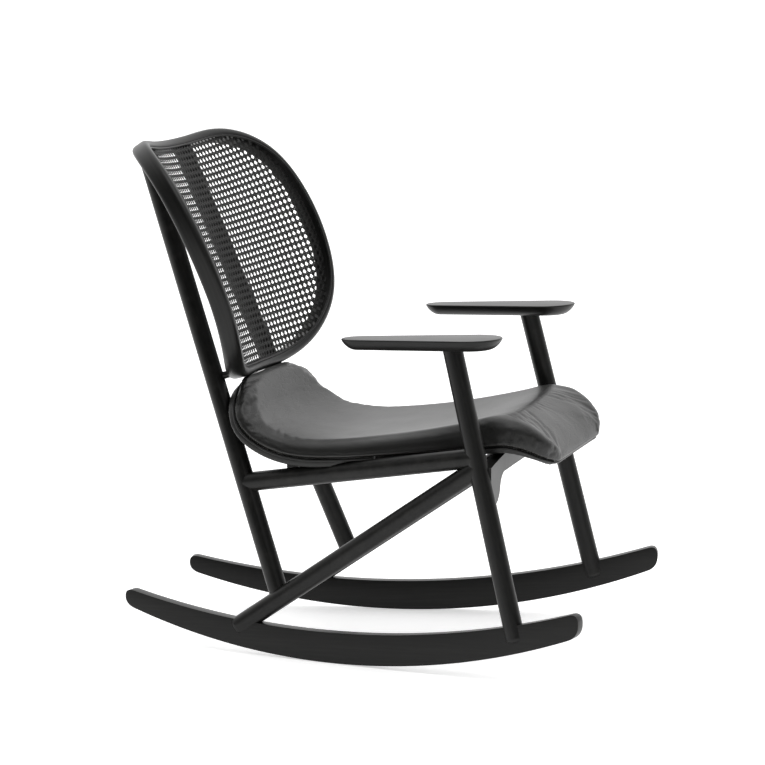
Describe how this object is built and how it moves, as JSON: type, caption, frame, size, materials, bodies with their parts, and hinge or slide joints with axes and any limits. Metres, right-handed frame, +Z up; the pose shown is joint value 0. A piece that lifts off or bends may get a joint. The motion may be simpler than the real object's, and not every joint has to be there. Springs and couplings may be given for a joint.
{
  "type": "bentwood rocking chair",
  "caption": "Rocking chair of black stained bentwood with a hoop back in woven cane, a leather bucket seat, flat paddle armrests and long splayed rockers.",
  "frame": {"origin": "on the floor under the middle of the chair's outer box", "axes": "+Z up, the chair faces -Y, -X is the sitter's right"},
  "size_m": [0.689, 0.9209, 0.947],
  "materials": {
    "black_wood": "black stain under satin lacquer, grain just visible",
    "yoke_wood": "black stain under satin lacquer",
    "black_cane": "dyed woven rattan cane, satin",
    "seat_leather": "dark grey-black leather, semi-gloss",
    "cover_leather": "dark grey-black leather, semi-gloss",
    "plywood": "raw moulded plywood, covered",
    "beech_pins": "raw beech, hidden in the joints",
    "screw_steel": "plain steel screws"
  },
  "bodies": {
    "root": {"front_leg_right": "black_wood", "front_leg_left": "black_wood", "armrest_right": "black_wood", "armrest_left": "black_wood", "rocker_right": "black_wood", "rocker_left": "black_wood", "side_rail_right": "black_wood", "side_rail_left": "black_wood", "strut_right": "black_wood", "strut_left": "black_wood", "rear_post_right": "black_wood", "rear_post_left": "black_wood", "back_hoop": "black_wood", "rear_cross_rail": "black_wood", "cane_spline": "black_wood", "front_yoke": "yoke_wood", "cane_panel": "black_cane", "seat_pad": "seat_leather", "seat_under_cover": "cover_leather", "seat_welt": "cover_leather", "seat_shell": "plywood", "rocker_pins": "beech_pins", "frame_dowels": "beech_pins", "yoke_dowels": "beech_pins", "hoop_screws": "screw_steel", "hoop_spacers": "black_wood", "seat_screws": "screw_steel"}
  },
  "joints": []
}
